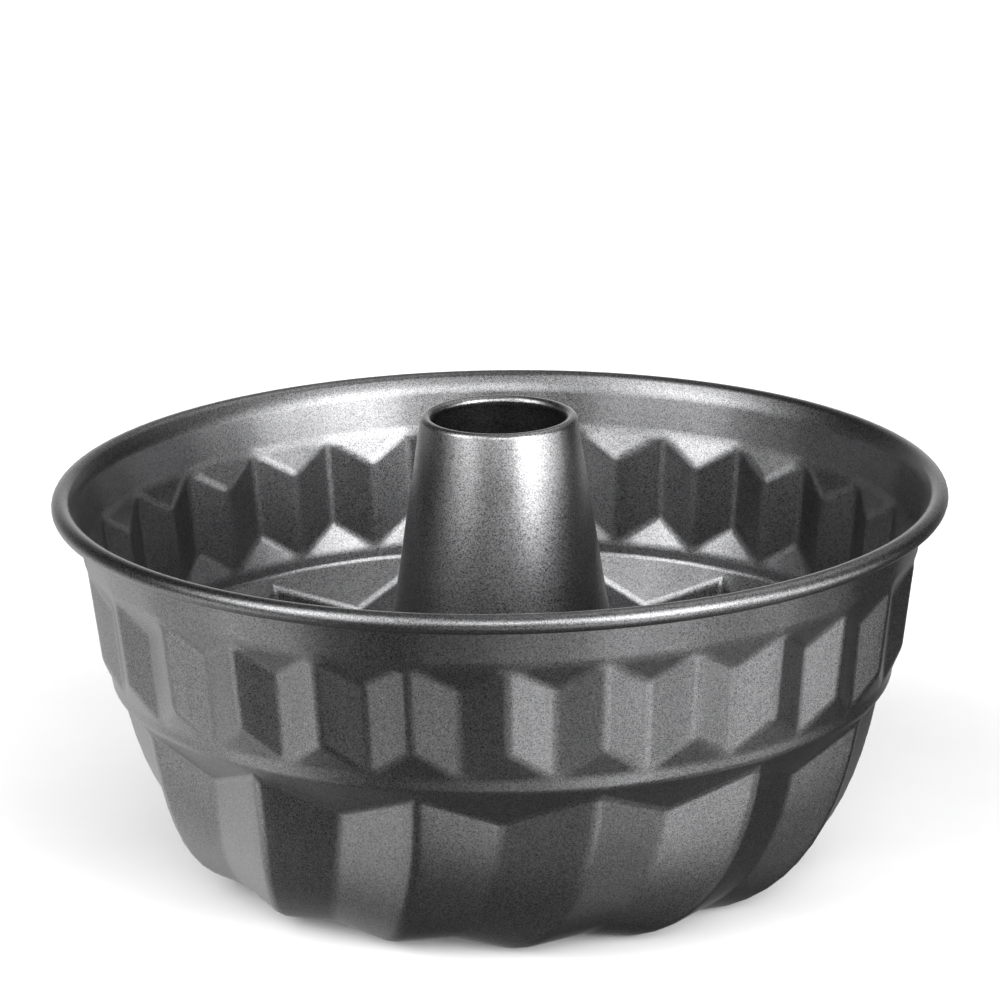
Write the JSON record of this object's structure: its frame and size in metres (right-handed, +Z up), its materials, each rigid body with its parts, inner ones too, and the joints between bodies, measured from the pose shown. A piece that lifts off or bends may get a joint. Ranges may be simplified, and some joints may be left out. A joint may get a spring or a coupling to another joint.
{
  "type": "bundt pan",
  "caption": "Round fluted ring-cake pan in dark non-stick steel, with two tiers of pleats that swirl under the floor, a rolled wire rim and a tapered centre tube.",
  "frame": {"origin": "on the table, under the middle of the pan", "axes": "+Z up along the pan's axis and out of its open top; -Y is the front"},
  "size_m": [0.24, 0.24, 0.1249],
  "materials": {
    "body_coating": "dark grey non-stick coating with a fine metallic fleck, satin",
    "tube_coating": "dark grey non-stick coating with a fine metallic fleck, satin",
    "wire_steel": "plain drawn steel wire"
  },
  "bodies": {
    "root": {"pan_body": "body_coating", "rim_wire": "wire_steel", "centre_tube": "tube_coating"}
  },
  "joints": []
}
